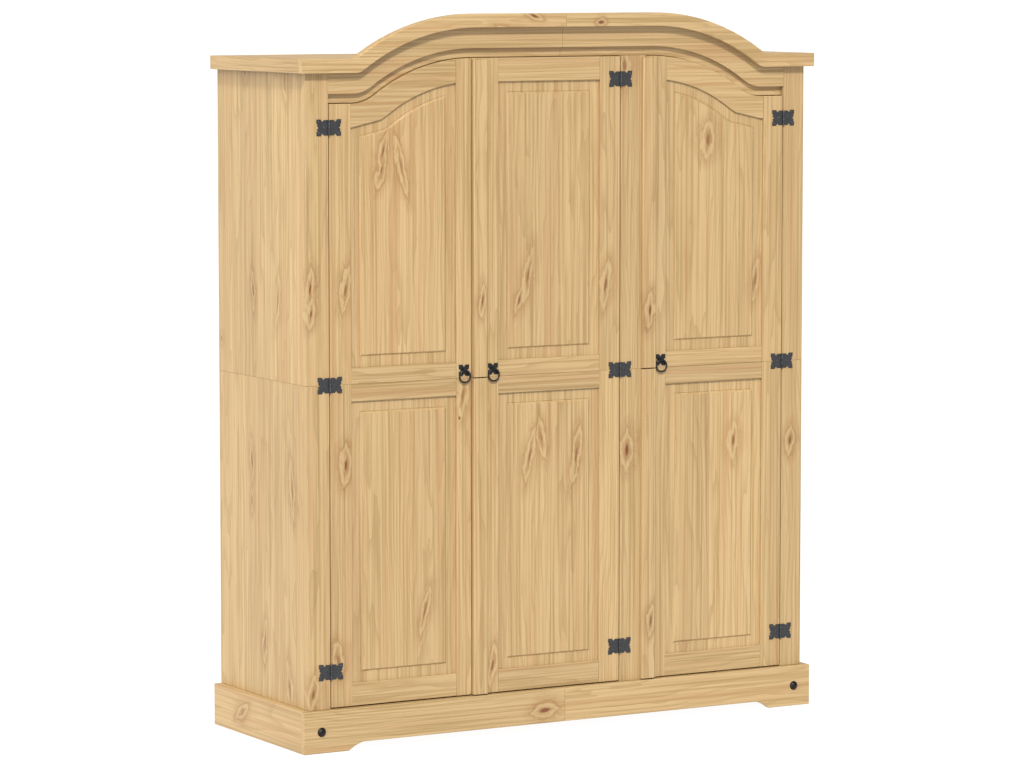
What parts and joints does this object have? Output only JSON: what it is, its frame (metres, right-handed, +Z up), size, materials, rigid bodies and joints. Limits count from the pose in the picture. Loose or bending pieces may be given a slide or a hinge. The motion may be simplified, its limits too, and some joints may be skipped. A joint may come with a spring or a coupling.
{
  "type": "armoire",
  "caption": "Free-standing arched pine armoire with inset fielded-panel doors on butterfly hinges, iron ring pulls, hanging rail and shelves.",
  "frame": {"origin": "middle of the overall footprint, on the floor", "axes": "+X to the right seen from the front, +Y to the back, +Z up; the doors face -Y"},
  "size_m": [1.51, 0.52, 1.841],
  "materials": {
    "pine": "waxed honey pine, satin, with knots",
    "pine_panel": "waxed honey pine, satin, glued-up panel",
    "plywood": "unfinished plywood",
    "black_iron": "blackened, waxed, slightly hammered",
    "rail_steel": "drawn steel tube"
  },
  "bodies": {
    "cabinet": {"plinth_front_left": "pine", "plinth_front_right": "pine", "plinth_sides": "pine", "plinth_back": "pine", "plinth_studs": "black_iron", "floor_board": "pine", "roof_board": "pine", "sides_lower": "pine", "sides_upper": "pine", "frame_stiles_lower": "pine", "frame_stiles_upper": "pine", "partition": "pine", "back_lower": "plywood", "back_upper": "plywood", "arch_fascia_left": "pine", "arch_fascia_right": "pine", "arch_rails": "pine", "arch_stops": "pine", "cornice_returns": "pine", "hat_shelf": "pine", "hanging_rail": "rail_steel", "rail_sockets": "black_iron", "side_shelves": "pine", "shelf_cleats": "pine", "door_stops": "pine", "hinge_frame_leaves": "black_iron", "hinge_pins": "black_iron"},
    "left_door": {"left_door_stiles_upper": "pine", "left_door_stiles_lower": "pine", "left_door_rails_upper": "pine", "left_door_rails_lower": "pine", "left_door_panel_upper": "pine_panel", "left_door_panel_lower": "pine_panel", "left_door_seam_batten": "pine", "left_door_hinge_leaves": "black_iron", "left_door_pull_plate": "black_iron"},
    "left_ring": {"left_door_ring": "black_iron"},
    "middle_door": {"middle_door_stiles_upper": "pine", "middle_door_stiles_lower": "pine", "middle_door_rails_upper": "pine", "middle_door_rails_lower": "pine", "middle_door_panel_upper": "pine_panel", "middle_door_panel_lower": "pine_panel", "middle_door_seam_batten": "pine", "middle_door_hinge_leaves": "black_iron", "middle_door_pull_plate": "black_iron", "middle_strip": "pine"},
    "middle_ring": {"middle_door_ring": "black_iron"},
    "right_door": {"right_door_stiles_upper": "pine", "right_door_stiles_lower": "pine", "right_door_rails_upper": "pine", "right_door_rails_lower": "pine", "right_door_panel_upper": "pine_panel", "right_door_panel_lower": "pine_panel", "right_door_seam_batten": "pine", "right_door_hinge_leaves": "black_iron", "right_door_pull_plate": "black_iron", "right_strip": "pine"},
    "right_ring": {"right_door_ring": "black_iron"}
  },
  "joints": [
    {"name": "left_door_hinge", "type": "hinge", "parent": "cabinet", "child": "left_door", "pos_m": [-0.67075, -0.2392, 0.922], "axis": [0, 0, -1], "range_deg": [0, 175]},
    {"name": "middle_door_hinge", "type": "hinge", "parent": "cabinet", "child": "middle_door", "pos_m": [0.17208, -0.2392, 0.922], "axis": [0, 0, 1], "range_deg": [0, 105]},
    {"name": "right_door_hinge", "type": "hinge", "parent": "cabinet", "child": "right_door", "pos_m": [0.67075, -0.2392, 0.922], "axis": [0, 0, 1], "range_deg": [0, 175]},
    {"name": "left_ring_pivot", "type": "hinge", "parent": "left_door", "child": "left_ring", "pos_m": [-0.28908, -0.2422, 0.942], "axis": [-1, 0, 0], "range_deg": [-4, 150]},
    {"name": "middle_ring_pivot", "type": "hinge", "parent": "middle_door", "child": "middle_ring", "pos_m": [-0.20508, -0.2422, 0.942], "axis": [-1, 0, 0], "range_deg": [-4, 150]},
    {"name": "right_ring_pivot", "type": "hinge", "parent": "right_door", "child": "right_ring", "pos_m": [0.29483, -0.2422, 0.942], "axis": [-1, 0, 0], "range_deg": [-4, 150]}
  ]
}
